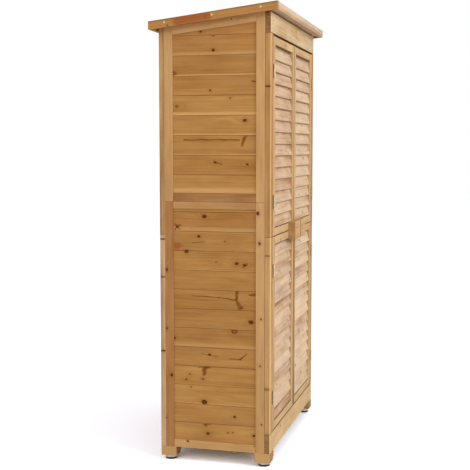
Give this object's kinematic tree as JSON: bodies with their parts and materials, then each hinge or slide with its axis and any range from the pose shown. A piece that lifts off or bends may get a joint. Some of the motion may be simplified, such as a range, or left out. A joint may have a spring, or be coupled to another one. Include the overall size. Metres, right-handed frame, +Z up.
{
  "type": "garden storage cabinet",
  "caption": "Tall wooden garden storage cabinet with a lean-to roof, matched-board side walls and hinged louvred doors with block pulls, standing on short feet.",
  "frame": {"origin": "on the ground under the middle of the roof", "axes": "+Z up, the doors face -Y, +X to the right seen from the front"},
  "size_m": [0.8812, 0.455, 1.604],
  "materials": {
    "fir_carcass": "planed softwood, honey-brown glaze",
    "fir_doors": "planed softwood, pale honey glaze",
    "fir_inside": "planed softwood",
    "roofing_felt": "mineral-surfaced bitumen sheet",
    "zinc_plated_steel": "zinc plated",
    "pale_plastic": "moulded",
    "dark_rubber": "moulded",
    "catch_plastic": "moulded"
  },
  "bodies": {
    "cabinet": {"back_wall_boards": "fir_carcass", "back_wall_lower_rails": "fir_carcass", "back_wall_lower_stiles": "fir_carcass", "back_wall_upper_rails": "fir_carcass", "back_wall_upper_stiles": "fir_carcass", "door_stops": "fir_inside", "fascia_screw_heads": "zinc_plated_steel", "floor_bearers": "fir_inside", "floor_boards": "fir_inside", "foot_blocks": "fir_carcass", "front_fascia": "fir_carcass", "glide_discs": "pale_plastic", "glide_pads": "dark_rubber", "header_board": "fir_carcass", "hinge_frame_leaves": "zinc_plated_steel", "left_front_stile_lower": "fir_carcass", "left_front_stile_upper": "fir_carcass", "left_wall_lower_boards": "fir_carcass", "left_wall_lower_rails": "fir_carcass", "left_wall_lower_stiles": "fir_carcass", "left_wall_upper_boards": "fir_carcass", "left_wall_upper_rails": "fir_carcass", "left_wall_upper_stiles": "fir_carcass", "magnetic_catches": "catch_plastic", "plinth_rail": "fir_carcass", "rear_fascia": "fir_carcass", "right_front_stile_lower": "fir_carcass", "right_front_stile_upper": "fir_carcass", "right_wall_lower_boards": "fir_carcass", "right_wall_lower_rails": "fir_carcass", "right_wall_lower_stiles": "fir_carcass", "right_wall_upper_boards": "fir_carcass", "right_wall_upper_rails": "fir_carcass", "right_wall_upper_stiles": "fir_carcass", "roof_battens": "fir_inside", "roof_boards": "fir_inside", "roof_covering": "roofing_felt", "shelf_boards": "fir_inside", "shelf_cleats": "fir_inside", "side_fascias": "fir_carcass"},
    "left_door": {"left_hinge_door_leaves": "zinc_plated_steel", "left_lower_door_rails": "fir_doors", "left_lower_door_slats": "fir_doors", "left_lower_door_stiles": "fir_doors", "left_pull_block": "fir_doors", "left_strike_plate": "zinc_plated_steel", "left_upper_door_rails": "fir_doors", "left_upper_door_slats": "fir_doors", "left_upper_door_stiles": "fir_doors"},
    "right_door": {"right_hinge_door_leaves": "zinc_plated_steel", "right_lower_door_rails": "fir_doors", "right_lower_door_slats": "fir_doors", "right_lower_door_stiles": "fir_doors", "right_pull_block": "fir_doors", "right_strike_plate": "zinc_plated_steel", "right_upper_door_rails": "fir_doors", "right_upper_door_slats": "fir_doors", "right_upper_door_stiles": "fir_doors"}
  },
  "joints": [
    {"name": "left_door_hinge", "type": "hinge", "parent": "cabinet", "child": "left_door", "pos_m": [-0.3625, -0.201, 0.811], "axis": [0, 0, -1], "range_deg": [0, 180]},
    {"name": "right_door_hinge", "type": "hinge", "parent": "cabinet", "child": "right_door", "pos_m": [0.3625, -0.201, 0.811], "axis": [0, 0, 1], "range_deg": [0, 180]}
  ]
}
